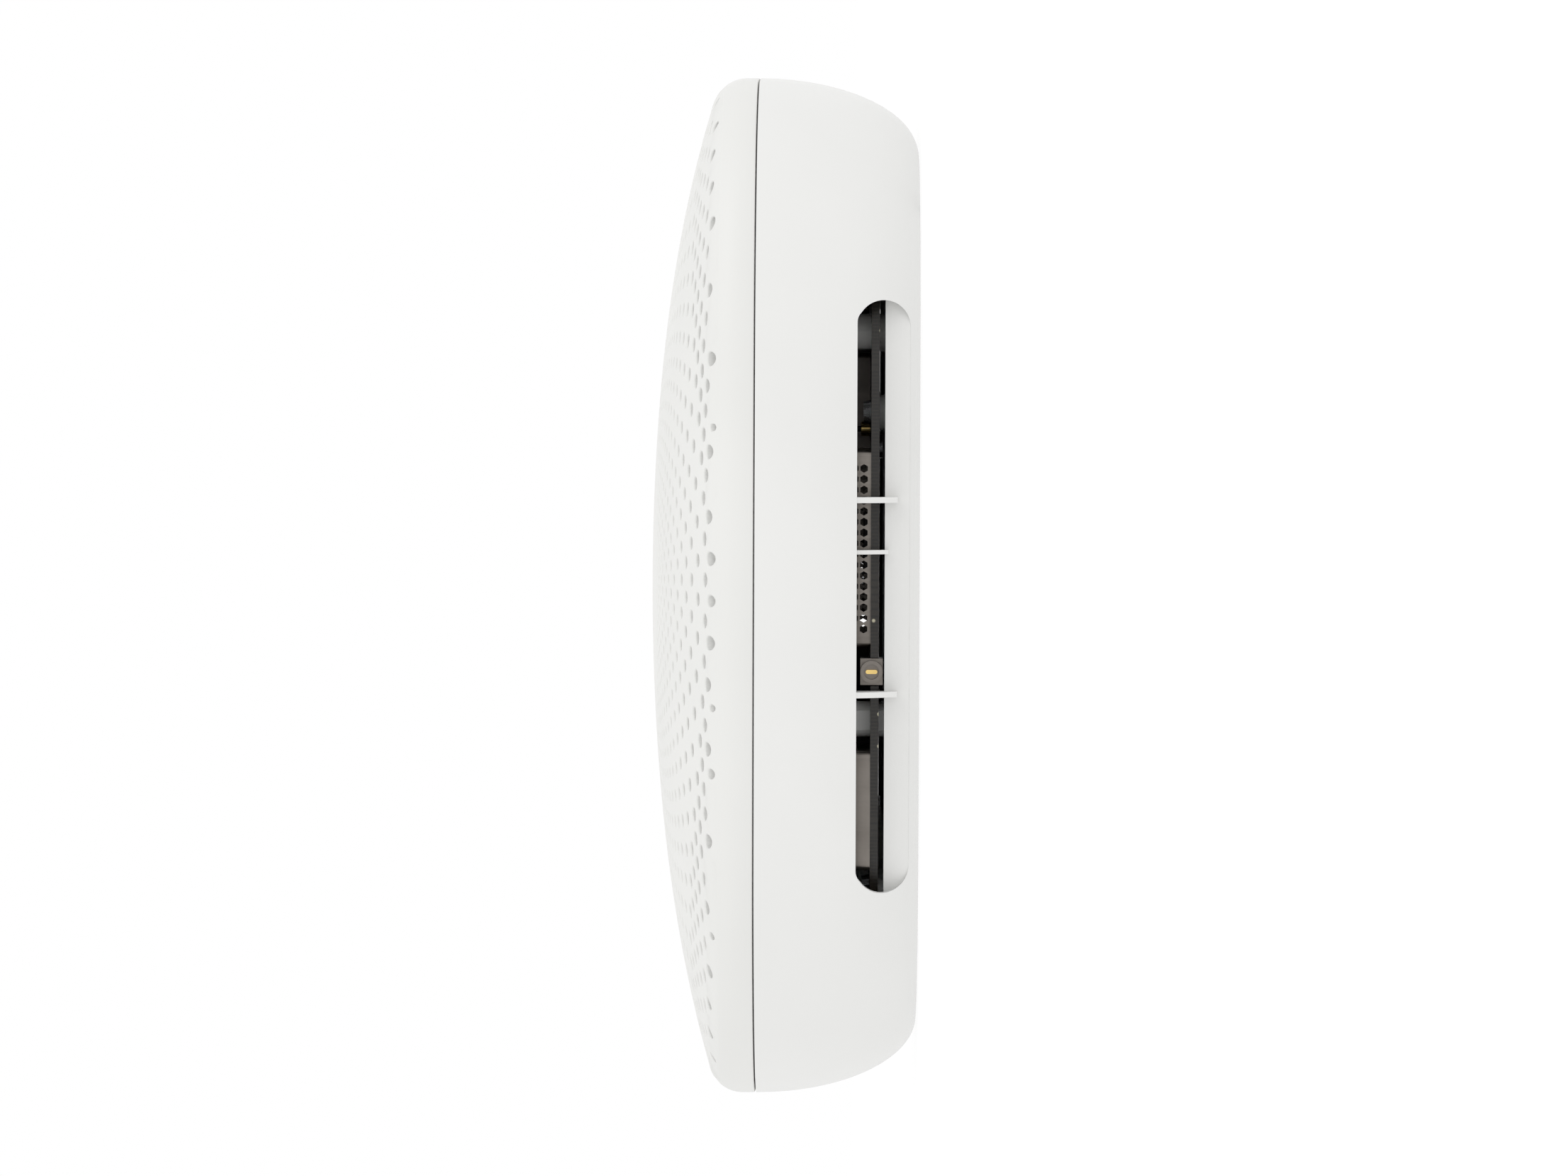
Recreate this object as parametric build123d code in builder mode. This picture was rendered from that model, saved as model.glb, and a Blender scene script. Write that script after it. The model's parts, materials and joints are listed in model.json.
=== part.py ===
"""Ceiling access point: dome cover, rear housing, electronics and twist-lock bracket.

Millimetres. The origin is the centre of the mounting face (the ceiling plane, z = 0),
+Z points out of the front of the dome, +X is the side with the long vent that is seen,
-Y is the side of the cable bay.
"""

import math
import os

from build123d import *

os.makedirs("parts", exist_ok=True)

# ---------------------------------------------------------------- driving dimensions
width = 210.0  # across the flats of the rounded square, both ways
seam_z = 32.4  # joint line between the rear housing and the front cover
crown_height = 22.7  # front cover, seam to the top of the dome
seam_gap = 0.26  # open line between the two mouldings
side_bow = 5.24  # side arc radius over half width, at the outline
corner_round = 0.552  # corner arc radius over half width, at the outline
rear_inset = 15.5  # how far the housing draws in between the seam and the back
wall = 2.3  # housing wall
cover_wall = 2.2
lip_clearance = 0.15  # cover lip to the inside of the housing wall
lip_thickness = 1.2
lip_bottom = 30.2

edge_radius = 7.0  # rounding between the cover's side and its crown
edge_start = 2.65  # height above the seam where that rounding starts
crown_square = 11.2  # crown drop with the square of the relative half width
crown_fourth = 3.7  # crown drop with its fourth power

lap_width = 1.8  # ledge of the housing's wall that overlaps the back plate
lap_height = 2.0
lap_root = 5.0  # how far the ledge runs into the wall
recess_radius = 46.0  # round pocket in the back that takes the bracket
recess_depth = 5.0
recess_floor = 2.0  # thickness of the pocket's floor and of the ring around it
recess_top = recess_depth + recess_floor
bay_half_x = 40.0  # cable bay in the back
bay_low_y = -84.0
bay_high_y = -50.0
bay_middle_y = (bay_low_y + bay_high_y) / 2
bay_depth = 24.6
bay_wall = 1.8
bay_corner = 3.0

vent_low_z = 6.9
vent_high_z = 12.4
vent_half_length = 56.4
scoop_low_z = 2.0  # lowest reach of the scoop below the vent
scoop_half_length = 58.0
scoop_floor_x = 94.8
scoop_back_x = 90.8
scoop_backing_low_z = 1.0
vent_reach = 12.0  # how far the vent's cutter runs each way from the scoop's floor
rib_places = (-19.0, 19.0)
rib_thickness = 1.1
inner_rib_y = 8.8
inner_rib_thickness = 0.8

board_z = 8.0  # underside of the main board
board_thickness = 1.6
board_top = board_z + board_thickness
board_inset = 12.0
board_notch_half_x = 43.5  # the board goes round the cable bay
board_notch_y = -47.5
shield_height = 4.8
shield_sheet = 0.4
chip_height = 1.4
plate_z = 27.0  # antenna ground plate, underside
plate_thickness = 1.2
plate_top = plate_z + plate_thickness
plate_inset = 6.0
heat_sink_top = 25.4

screw_clearance = 0.1  # on a diameter, between a screw and its hole
board_screw = 2.4
plate_screw = 2.9
cover_screw = 2.9
cover_boss = 9.0
cover_post_z = 30.0  # where the cover's posts stand on the housing's bosses
cover_screw_xy = 70.0
screw_boss = 7.0
wall_boss_places = [(0, -90)]  # the only boss that grows out of the housing's wall
floor_boss_places = [(84, -24.5), (-84, -24.5), (78, 52), (-78, 52), (0, 70)]
plate_screw_places = floor_boss_places + wall_boss_places
plate_screw_depth = 9.0
screw_recess = 6.6  # countersunk seat of a cover screw in the back
screw_recess_z = 3.5
board_screw_places = [(80, 36), (-80, 36), (0, 85), (80, -60), (-80, -60), (56, -60), (-56, -60)]

stud_circle = 40.5
stud_shank = 3.6
stud_head = 7.2
stud_head_z = (2.0, 3.0)
stud_angles = [45, 135, 225, 315]
keyhole_width = 4.0
keyhole_entry = 7.8
twist = 14  # degrees between locked and free
bracket_radius = 45.0
bracket_pan_radius = 36.0
bracket_bore = 28.0
bracket_sheet = 1.2
flange_z = 3.2
bend_inside = 0.6
bend_outside = bend_inside + bracket_sheet
label_place = (0, 70)
label_seat = (56.0, 24.0)
label_seat_depth = 0.3
box_hole_circle = 60.0  # screw spacing of a round ceiling box
box_hole = 4.5

jack_places = {"ethernet_jack_poe": -5.0, "ethernet_jack_lan": 14.5}
jack_width = 15.9
jack_height = 13.4
jack_length = 21.3
jack_face_y = bay_high_y - 0.4
socket_width = 11.9
socket_depth = 14.0
socket_low = 3.0  # floor of the plug opening above the jack's foot
socket_height = 7.2
latch_width = 4.4
latch_height = 1.6
window_gap = 0.3

dc_jack_x = -26.0
dc_jack_width = 9.0
dc_jack_height = 11.0
dc_jack_length = 14.0
dc_jack_bore = 6.4
dc_jack_pin = 2.1
dc_jack_axis_z = board_top + 6.4

reset_x = 32.0
reset_z = board_top + 3.2
reset_diameter = 3.0
reset_guide = 3.3
reset_flange = 5.0
reset_switch_y = -43.4
reset_travel = 0.5
button_proud = 1.0  # how far the button stands out of the bay's wall

connector_x = 92.0  # coaxial connector on the board's edge, seen through the vent
connector_y = -14.8
connector_z = 9.4

light_pipe_diameter = 5.0
light_pipe_top = 52.3


# ---------------------------------------------------------------- shared outlines
def corner_centre(side, corner, half):
    """Distance along both axes of the corner arc's centre, tangent inside the side arc."""
    m = side - half
    n = side - corner
    return (math.sqrt(2 * n * n - m * m) - m) / 2


def rounded_square(half, side, corner):
    """Filled sketch of four bowed sides and four corner arcs, tangent to each other."""
    c = corner_centre(side, corner, half)
    reach = side / (side - corner)
    tangent = (half - side + (c + side - half) * reach, c * reach)
    tip = c + corner / math.sqrt(2)
    with BuildSketch(mode=Mode.PRIVATE) as drawn:
        with BuildLine():
            for quarter in range(4):
                turn = Rotation(0, 0, 90 * quarter)
                low = turn * Pos(tangent[0], -tangent[1])
                side_middle = turn * Pos(half, 0)
                high = turn * Pos(*tangent)
                corner_middle = turn * Pos(tip, tip)
                after = turn * Pos(tangent[1], tangent[0])
                ThreePointArc(low.position, side_middle.position, high.position)
                ThreePointArc(high.position, corner_middle.position, after.position)
        make_face()
    return drawn.sketch


def outline(inset=0.0):
    """The housing's outline drawn inward by an even inset, as a filled sketch."""
    half = width / 2
    return rounded_square(half - inset, side_bow * half - inset, corner_round * half - inset)


def dome_contour(half):
    """Level line of the dome at a half width: squarish at the rim, round near the top."""
    level = 2 * half / width
    side = half * (1 + (side_bow - 1) * level**1.48)
    corner = half * (1 - (1 - corner_round) * level**1.17)
    return rounded_square(half, side, corner)


# ---------------------------------------------------------------- section curves
def rear_wall_inset(z):
    """Inset of the housing's outer face at height z: a quarter of an ellipse."""
    return rear_inset * (1 - math.sqrt(max(0.0, 1 - ((seam_z - z) / seam_z) ** 2)))


def crown_z(half):
    level = 2 * half / width
    return seam_z + crown_height - crown_square * level**2 - crown_fourth * level**4


def crown_slope(half):
    level = 2 * half / width
    return (2 * crown_square * level + 4 * crown_fourth * level**3) * 2 / width


def cover_stations(thickness):
    """(half width, z) of the dome's contours, set in from the outer skin by a thickness."""
    base = width / 2 - edge_radius
    stations = [(width / 2 - thickness, seam_z + edge_start)]
    for degrees in (18, 36, 54, 68):
        angle = math.radians(degrees)
        radius = edge_radius - thickness
        stations.append(
            (base + radius * math.cos(angle), seam_z + edge_start + radius * math.sin(angle))
        )
    for half in (95.0, 88.0, 80.0, 70.0, 58.0, 44.0, 30.0, 17.0, 8.0):
        slope = crown_slope(half)
        lean = math.hypot(1, slope)
        stations.append((half - thickness * slope / lean, crown_z(half) - thickness / lean))
    return stations


# ---------------------------------------------------------------- small helpers
def finish(part, name):
    """Labels a finished piece and writes it."""
    part.part.label = name
    export_step(part.part, f"parts/{name}.step")


def block(x, y, z):
    """Solid between the low and high values given for each axis."""
    with BuildPart(mode=Mode.PRIVATE) as made:
        with BuildSketch(Plane.XY.offset(z[0])):
            with Locations(((x[0] + x[1]) / 2, (y[0] + y[1]) / 2)):
                Rectangle(x[1] - x[0], y[1] - y[0])
        extrude(amount=z[1] - z[0])
    return made.part


def rods(places, diameter, low, high):
    """Upright round rods at the given places."""
    with BuildPart(mode=Mode.PRIVATE) as made:
        with BuildSketch(Plane.XY.offset(low)):
            with Locations(*places):
                Circle(diameter / 2)
        extrude(amount=high - low)
    return made.part


def screws(places, shank, head, head_height, seat, tip, drive):
    """Pan-head screws: the head is on the far side of the seat from the tip, with a cross slot."""
    up = 1 if seat > tip else -1
    with BuildPart(mode=Mode.PRIVATE) as made:
        with BuildSketch(Plane.XY.offset(tip)):
            with Locations(*places):
                Circle(shank / 2)
        extrude(amount=seat - tip)
        with BuildSketch(Plane.XY.offset(seat)):
            with Locations(*places):
                Circle(head / 2)
        extrude(amount=up * head_height, taper=12)
        with BuildSketch(Plane.XY.offset(seat + up * head_height)):
            with Locations(*places):
                Rectangle(drive, drive / 4)
                Rectangle(drive / 4, drive)
        extrude(amount=-up * head_height / 2, mode=Mode.SUBTRACT)
    return made.part


cover_screw_places = [
    (sx * cover_screw_xy, sy * cover_screw_xy) for sx in (-1, 1) for sy in (-1, 1)
]


# ---------------------------------------------------------------- rear housing
side_plane = Plane(origin=(width / 2, 0, 0), x_dir=(1, 0, 0), z_dir=(0, -1, 0))
rim_z = seam_z - seam_gap / 2


def housing_band(inner_reach, low, high):
    """Ring just under the housing's outer face, inner_reach deep, between two heights."""
    with BuildPart(mode=Mode.PRIVATE) as band:
        with BuildSketch(side_plane):
            with BuildLine():
                EllipticalCenterArc(
                    (-rear_inset, seam_z), rear_inset, seam_z, start_angle=270, arc_size=90
                )
                Polyline((0, seam_z), (-rear_inset, seam_z), (-rear_inset, 0))
            make_face()
            with Locations((-inner_reach / 2, (low + high) / 2)):
                Rectangle(inner_reach, high - low, mode=Mode.INTERSECT)
        sweep(path=outline().face().outer_wire())
    return band.part


def scoop_backing():
    """Thick bands behind the scoops of both vented sides."""
    with BuildPart(mode=Mode.PRIVATE) as backing:
        add(housing_band(width / 2 - scoop_back_x, scoop_backing_low_z, vent_low_z))
        with BuildSketch():
            Rectangle(2 * width, 2 * scoop_half_length + 4)
            Rectangle(2 * (scoop_back_x - 8), 2 * width, mode=Mode.SUBTRACT)
        extrude(amount=seam_z, mode=Mode.INTERSECT)
    return backing.part


def vent_plane(side):
    """Plane across a vent, its x along Y and its y along Z, or against it on the -X side."""
    return Plane(origin=(side * scoop_floor_x, 0, 0), x_dir=(0, 1, 0), z_dir=(side, 0, 0))


def scoop_cutter(side):
    """Slot-shaped trough as deep all along as the outline's inset through its floor."""
    with BuildPart(mode=Mode.PRIVATE) as cutter:
        with BuildSketch(vent_plane(side).offset(-vent_reach)):
            with Locations((0, side * (scoop_low_z + vent_high_z) / 2)):
                SlotOverall(2 * scoop_half_length, vent_high_z - scoop_low_z)
        extrude(amount=2 * vent_reach)
        with BuildSketch():
            add(outline(width / 2 - scoop_floor_x))
        extrude(amount=seam_z, mode=Mode.SUBTRACT)
    return cutter.part


with BuildPart() as rear_housing:
    # curved side wall, even in thickness, with a ledge over the back plate's edge
    with BuildSketch(side_plane):
        with BuildLine():
            EllipticalCenterArc(
                (-rear_inset, seam_z), rear_inset, seam_z, start_angle=270, arc_size=90
            )
            Line((0, seam_z), (-wall, seam_z))
            EllipticalCenterArc(
                (-rear_inset, seam_z), rear_inset - wall, seam_z - wall, start_angle=270, arc_size=90
            )
            Line((-rear_inset, wall), (-rear_inset, 0))
        make_face()
        with Locations((-rear_inset - lap_width, wall)):
            Rectangle(lap_width + lap_root, lap_height, align=(Align.MIN, Align.MIN))
        with Locations((0, rim_z)):
            Rectangle(4 * wall, seam_gap, align=(Align.CENTER, Align.MIN), mode=Mode.SUBTRACT)
    sweep(path=outline().face().outer_wire())
    add(scoop_backing())
    add(rods(wall_boss_places, screw_boss, wall + lap_height / 2, plate_z))
    add(
        rods(wall_boss_places, plate_screw + screw_clearance, plate_z - plate_screw_depth, plate_z),
        mode=Mode.SUBTRACT,
    )
    # long vents with a scoop towards the back
    for side in (1, -1):
        add(scoop_cutter(side), mode=Mode.SUBTRACT)
        with BuildSketch(vent_plane(side)):
            with Locations((0, side * (vent_low_z + vent_high_z) / 2)):
                SlotOverall(2 * vent_half_length, vent_high_z - vent_low_z)
        extrude(amount=vent_reach, both=True, mode=Mode.SUBTRACT)
        # two ribs near the skin and a thinner one set deeper
        for rib_y, thickness, shy, low in (
            (rib_places[0], rib_thickness, 0.7, 4.4),
            (rib_places[1], rib_thickness, 0.7, 4.4),
            (inner_rib_y, inner_rib_thickness, 2.6, 6.2),
        ):
            rib_plane = Plane(origin=(0, rib_y, 0), x_dir=(side, 0, 0), z_dir=(0, -side, 0))
            high = vent_high_z + 0.6
            skin = [
                (width / 2 - rear_wall_inset(z) - shy, z) for z in (low, (low + high) / 2, high)
            ]
            back = scoop_floor_x - 0.6
            with BuildSketch(rib_plane):
                with BuildLine():
                    ThreePointArc(*skin)
                    Polyline(skin[2], (back, high), (back, low), skin[0])
                make_face()
            extrude(amount=thickness / 2, both=True)
finish(rear_housing, "rear_housing")


# ---------------------------------------------------------------- back: plate, pocket and bay
def bay_prism(low, high, grow):
    """Rounded block in the cable bay's plan, grown outward from its inner faces."""
    with BuildPart(mode=Mode.PRIVATE) as prism:
        with BuildSketch(Plane.XY.offset(low)):
            with Locations((0, bay_middle_y)):
                RectangleRounded(
                    2 * (bay_half_x + grow), bay_high_y - bay_low_y + 2 * grow, bay_corner + grow
                )
        extrude(amount=high - low)
    return prism.part


with BuildPart() as back_plate:
    # screw bosses, kept clear of the housing's ledge
    add(rods(floor_boss_places, screw_boss, 0, plate_z))
    add(rods(board_screw_places, screw_boss, 0, board_z))
    add(rods(cover_screw_places, cover_boss, 0, cover_post_z))
    with BuildSketch():
        add(outline(rear_inset + lap_width + 0.2))
    extrude(amount=seam_z, mode=Mode.INTERSECT)
    with BuildSketch():
        add(outline(rear_inset))
    extrude(amount=wall)
    # openings for the pocket and the cable bay
    with BuildSketch():
        Circle(recess_radius + recess_floor)
    extrude(amount=wall, mode=Mode.SUBTRACT)
    add(bay_prism(0, wall, bay_wall), mode=Mode.SUBTRACT)
    # screw holes
    add(
        rods(floor_boss_places, plate_screw + screw_clearance, plate_z - plate_screw_depth, plate_z),
        mode=Mode.SUBTRACT,
    )
    add(rods(board_screw_places, board_screw + screw_clearance, wall, board_z), mode=Mode.SUBTRACT)
    add(rods(cover_screw_places, cover_screw + 0.4, 0, cover_post_z), mode=Mode.SUBTRACT)
    add(rods(cover_screw_places, screw_recess, 0, screw_recess_z), mode=Mode.SUBTRACT)
    # shallow seat for the rating label
    with BuildSketch():
        with Locations(label_place):
            RectangleRounded(*label_seat, 2)
    extrude(amount=label_seat_depth, mode=Mode.SUBTRACT)
finish(back_plate, "back_plate")

with BuildPart() as bracket_pocket:
    with BuildSketch():
        Circle(recess_radius + recess_floor)
    extrude(amount=recess_top)
    with BuildSketch():
        Circle(recess_radius)
    extrude(amount=recess_depth, mode=Mode.SUBTRACT)
    with BuildSketch(Plane.XY.offset(recess_depth)):
        with PolarLocations(stud_circle, len(stud_angles), start_angle=stud_angles[0]):
            Circle(stud_shank / 2 + screw_clearance / 2)
    extrude(amount=recess_floor, mode=Mode.SUBTRACT)
finish(bracket_pocket, "bracket_pocket")

with BuildPart() as cable_bay:
    add(bay_prism(0, bay_depth + bay_wall, bay_wall))
    add(bay_prism(0, bay_depth, 0), mode=Mode.SUBTRACT)
    # windows for the jacks and the reset button in the bay's inner wall
    with BuildSketch(Plane.XZ.offset(-bay_high_y - bay_wall - 1)):
        for jack_x in jack_places.values():
            with Locations((jack_x, board_top + jack_height / 2)):
                Rectangle(jack_width + window_gap, jack_height + window_gap)
        with Locations((dc_jack_x, board_top + dc_jack_height / 2)):
            Rectangle(dc_jack_width + window_gap, dc_jack_height + window_gap)
        with Locations((reset_x, reset_z)):
            Circle(reset_guide / 2)
    extrude(amount=bay_wall + 2, mode=Mode.SUBTRACT)
finish(cable_bay, "cable_bay")


# ---------------------------------------------------------------- front cover
def dome_solid(thickness, bottom):
    """Solid under the dome's skin, or under its inner face when a thickness is given."""
    stations = cover_stations(thickness)
    with BuildPart(mode=Mode.PRIVATE) as dome:
        with BuildSketch(Plane.XY.offset(bottom)):
            add(dome_contour(stations[0][0]))
        for half, z in stations:
            with BuildSketch(Plane.XY.offset(z)):
                add(dome_contour(half))
        loft()
    return dome.part


def dome_level(x, y):
    """Half width of the dome contour through a point, by halving the interval."""
    low, high = 0.0, width / 2
    for _ in range(40):
        half = (low + high) / 2
        level = 2 * half / width
        side = half * (1 + (side_bow - 1) * level**1.48)
        corner = half * (1 - (1 - corner_round) * level**1.17)
        centre = corner_centre(side, corner, half)
        a, b = max(abs(x), abs(y)), min(abs(x), abs(y))
        turn = centre / (centre + side - half)
        if b <= (a + side - half) * turn:
            inside = math.hypot(a + side - half, b) < side
        else:
            inside = math.hypot(a - centre, b - centre) < corner
        if inside:
            high = half
        else:
            low = half
    return half


post_top = crown_z(dome_level(cover_screw_xy, cover_screw_xy)) - cover_wall / 2

with BuildPart() as front_cover:
    add(dome_solid(0, seam_z + seam_gap / 2))
    add(dome_solid(cover_wall, seam_z), mode=Mode.SUBTRACT)
    # lip that drops inside the housing, joined to the cover by a short step
    lip_inset = wall + lip_clearance
    with BuildSketch(Plane.XY.offset(lip_bottom)):
        add(outline(lip_inset))
        add(outline(lip_inset + lip_thickness), mode=Mode.SUBTRACT)
    extrude(amount=seam_z + edge_start - lip_bottom)
    with BuildSketch(Plane.XY.offset(seam_z + 0.8)):
        add(outline(cover_wall / 2))
        add(outline(lip_inset + lip_thickness), mode=Mode.SUBTRACT)
    extrude(amount=edge_start - 0.8)
    # posts for the long screws
    add(rods(cover_screw_places, cover_boss - 1, cover_post_z, post_top))
    add(
        rods(cover_screw_places, cover_screw + screw_clearance, cover_post_z, cover_post_z + 9),
        mode=Mode.SUBTRACT,
    )
finish(front_cover, "front_cover")

with BuildPart() as cover_screws:
    add(screws(cover_screw_places, cover_screw, 5.8, 2.0, 3.5, cover_post_z + 8, 3.6))
finish(cover_screws, "cover_screws")


# ---------------------------------------------------------------- main board and its parts
with BuildPart() as main_board:
    with BuildSketch(Plane.XY.offset(board_z)):
        add(outline(board_inset))
        with Locations((0, board_notch_y)):
            Rectangle(
                2 * board_notch_half_x,
                width,
                align=(Align.CENTER, Align.MAX),
                mode=Mode.SUBTRACT,
            )
        with Locations(*cover_screw_places):
            Circle(cover_boss / 2 + 0.7, mode=Mode.SUBTRACT)
        with Locations(*plate_screw_places):
            Circle(screw_boss / 2 + 0.7, mode=Mode.SUBTRACT)
        with Locations(*board_screw_places):
            Circle(board_screw / 2 + 0.2, mode=Mode.SUBTRACT)
        with Locations((connector_x - 6.2, connector_y)):
            Rectangle(20, 5.6, align=(Align.MIN, Align.CENTER), mode=Mode.SUBTRACT)
    extrude(amount=board_thickness)
finish(main_board, "main_board")

with BuildPart() as board_screws:
    add(screws(board_screw_places, board_screw, 4.8, 1.5, board_top, wall + 1.2, 3.0))
finish(board_screws, "board_screws")


def shield_can(x, y, holes=True):
    """Five-sided sheet can on the board, with honeycomb holes in its top and long sides."""
    size_x, size_y = x[1] - x[0], y[1] - y[0]
    centre = ((x[0] + x[1]) / 2, (y[0] + y[1]) / 2)
    pitch = 2.1
    columns = int((size_y - 4) / pitch)
    rows = int((size_x - 4) / (2 * pitch))
    top = board_top + shield_height
    with BuildPart(mode=Mode.PRIVATE) as can:
        with BuildSketch(Plane.XY.offset(board_top)):
            with Locations(centre):
                RectangleRounded(size_x, size_y, 1.2)
        extrude(amount=shield_height)
        with BuildSketch(Plane.XY.offset(board_top)):
            with Locations(centre):
                RectangleRounded(size_x - 2 * shield_sheet, size_y - 2 * shield_sheet, 0.8)
        extrude(amount=shield_height - shield_sheet, mode=Mode.SUBTRACT)
        if holes:
            with BuildSketch(Plane(origin=(centre[0], centre[1], top), z_dir=(0, 0, 1))):
                with GridLocations(2 * pitch, pitch, rows, columns):
                    RegularPolygon(0.85, 6)
            extrude(amount=-2 * shield_sheet, mode=Mode.SUBTRACT)
            side_wall = Plane(origin=(x[1], centre[1], board_top), x_dir=(0, 1, 0), z_dir=(1, 0, 0))
            with BuildSketch(side_wall):
                with Locations((0, 1.4)):
                    with GridLocations(pitch, 1, columns, 1):
                        RegularPolygon(0.85, 6)
                with Locations((pitch / 2, 3.2)):
                    with GridLocations(pitch, 1, columns - 1, 1):
                        RegularPolygon(0.85, 6)
            extrude(amount=-size_x, mode=Mode.SUBTRACT)
    return can.part


shields = {
    "radio_shield_near": ((61, 91.5), (-10, 28.6), True),
    "radio_shield_far": ((-91.5, -61), (-10, 28.6), True),
    "processor_shield": ((-25, 25), (8, 48), False),
    "power_shield": ((64, 91.5), (-54, -30.5), False),
}
for name, (x, y, holes) in shields.items():
    with BuildPart() as shield:
        add(shield_can(x, y, holes))
    finish(shield, name)

chips = [(0, 28, 21), (-17, 28, 8), (17, 28, 8), (76, 10, 12), (-76, 10, 12), (78, -42, 10)]
with BuildPart() as chip_packages:
    for x, y, size in chips:
        with BuildSketch(Plane.XY.offset(board_top)):
            with Locations((x, y)):
                Rectangle(size, size)
        extrude(amount=chip_height)
    chamfer(chip_packages.edges().group_by(Axis.Z)[-1], 0.2)
finish(chip_packages, "chip_packages")

pad_places = chips[:3]
with BuildPart() as thermal_pads:
    shield_top = board_top + shield_height
    for x, y, size in pad_places:
        with BuildSketch(Plane.XY.offset(board_top + chip_height)):
            with Locations((x, y)):
                Rectangle(size - 1, size - 1)
        extrude(amount=shield_height - shield_sheet - chip_height)
    with BuildSketch(Plane.XY.offset(shield_top)):
        with Locations((0, 28)):
            Rectangle(44, 34)
    extrude(amount=1)
finish(thermal_pads, "thermal_pads")

sink_base_z = board_top + shield_height + 1
with BuildPart() as heat_sink:
    with BuildSketch(Plane.XY.offset(sink_base_z)):
        with Locations((0, 28)):
            RectangleRounded(62, 48, 3)
    extrude(amount=2)
    with BuildSketch(Plane.XY.offset(sink_base_z + 2)):
        with Locations((0, 28)):
            with GridLocations(5.6, 1, 10, 1):
                Rectangle(1.4, 44)
    extrude(amount=heat_sink_top - sink_base_z - 2)
    with BuildSketch(Plane.XY.offset(board_top)):
        with Locations((0, 28)):
            with GridLocations(57, 43, 2, 2):
                Circle(1.6)
    extrude(amount=sink_base_z - board_top)
finish(heat_sink, "heat_sink")

with BuildPart() as poe_transformer:
    add(block((-68, -46), (-38, -22), (board_top, board_top + 2)))
    add(block((-66, -48), (-37, -23), (board_top + 2, board_top + 12)))
    with BuildSketch(Plane.XY.offset(board_top + 4)):
        with Locations((-57, -30)):
            RectangleRounded(21.6, 11, 3)
    extrude(amount=6)
    fillet(poe_transformer.edges().group_by(Axis.Z)[-1], 0.6)
finish(poe_transformer, "poe_transformer")

with BuildPart() as capacitors:
    can_places = [(-21, -16), (-21, -28), (-44, 60), (-54, 66), (44, 62)]
    add(rods(can_places, 8, board_top, board_top + 12))
    fillet(capacitors.edges().group_by(Axis.Z)[-1], 0.8)
finish(capacitors, "capacitors")

with BuildPart() as chokes:
    for x, y in ((40, -30), (40, -42), (-57, -48)):
        with BuildSketch(Plane.XY.offset(board_top)):
            with Locations((x, y)):
                RectangleRounded(9.5, 9.5, 1.5)
        extrude(amount=4.6)
    chamfer(chokes.edges().group_by(Axis.Z)[-1], 0.5)
finish(chokes, "chokes")

with BuildPart() as line_transformers:
    for jack_x in jack_places.values():
        with BuildSketch(Plane.XY.offset(board_top)):
            with Locations((jack_x, -17)):
                Rectangle(15, 11)
        extrude(amount=5.6)
    chamfer(line_transformers.edges().group_by(Axis.Z)[-1], 0.5)
finish(line_transformers, "line_transformers")


# ---------------------------------------------------------------- jacks in the cable bay
for name, jack_x in jack_places.items():
    jack_plane = Plane(origin=(jack_x, jack_face_y, board_top), x_dir=(1, 0, 0), z_dir=(0, -1, 0))
    with BuildPart() as jack:
        with BuildSketch(jack_plane):
            with Locations((0, jack_height / 2)):
                Rectangle(jack_width, jack_height)
        extrude(amount=-jack_length)
        with BuildSketch(jack_plane):
            with Locations((0, socket_low + socket_height / 2)):
                Rectangle(socket_width, socket_height)
            with Locations((0, socket_low - latch_height)):
                Rectangle(latch_width, latch_height, align=(Align.CENTER, Align.MIN))
        extrude(amount=-socket_depth, mode=Mode.SUBTRACT)
    finish(jack, name)

with BuildPart() as jack_contacts:
    roof = board_top + socket_low + socket_height
    for jack_x in jack_places.values():
        for pin in range(8):
            pin_plane = Plane(
                origin=(jack_x + (pin - 3.5) * 1.02, 0, 0), x_dir=(0, 1, 0), z_dir=(1, 0, 0)
            )
            near = jack_face_y + 3.0
            far = jack_face_y + socket_depth
            with BuildSketch(pin_plane):
                with BuildLine() as wire:
                    FilletPolyline(
                        (near, roof - 0.2),
                        (far - 0.3, roof - 0.2),
                        (near + 3.5, roof - 2.4),
                        radius=0.15,
                    )
                trace(wire.line, line_width=0.3)
            extrude(amount=0.2, both=True)
finish(jack_contacts, "jack_contacts")

with BuildPart() as dc_jack:
    dc_plane = Plane(origin=(dc_jack_x, jack_face_y, 0), x_dir=(1, 0, 0), z_dir=(0, -1, 0))
    with BuildSketch(dc_plane):
        with Locations((0, board_top + dc_jack_height / 2)):
            RectangleRounded(dc_jack_width, dc_jack_height, 0.8)
    extrude(amount=-dc_jack_length)
    with BuildSketch(dc_plane):
        with Locations((0, dc_jack_axis_z)):
            Circle(dc_jack_bore / 2)
    extrude(amount=-9.5, mode=Mode.SUBTRACT)
finish(dc_jack, "dc_jack")

with BuildPart() as dc_jack_contact:
    with BuildSketch(dc_plane.offset(-9.5)):
        with Locations((0, dc_jack_axis_z)):
            Circle(dc_jack_pin / 2)
    extrude(amount=8.3)
    chamfer(dc_jack_contact.edges().group_by(Axis.Y)[0], 0.4)
finish(dc_jack_contact, "dc_jack_contact")

with BuildPart() as reset_switch:
    with BuildSketch(Plane.XY.offset(board_top)):
        with Locations((reset_x, reset_switch_y)):
            Rectangle(6, 3.8, align=(Align.CENTER, Align.MIN))
    extrude(amount=5)
    chamfer(reset_switch.edges().filter_by(Axis.Y), 0.3)
finish(reset_switch, "reset_switch")

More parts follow.
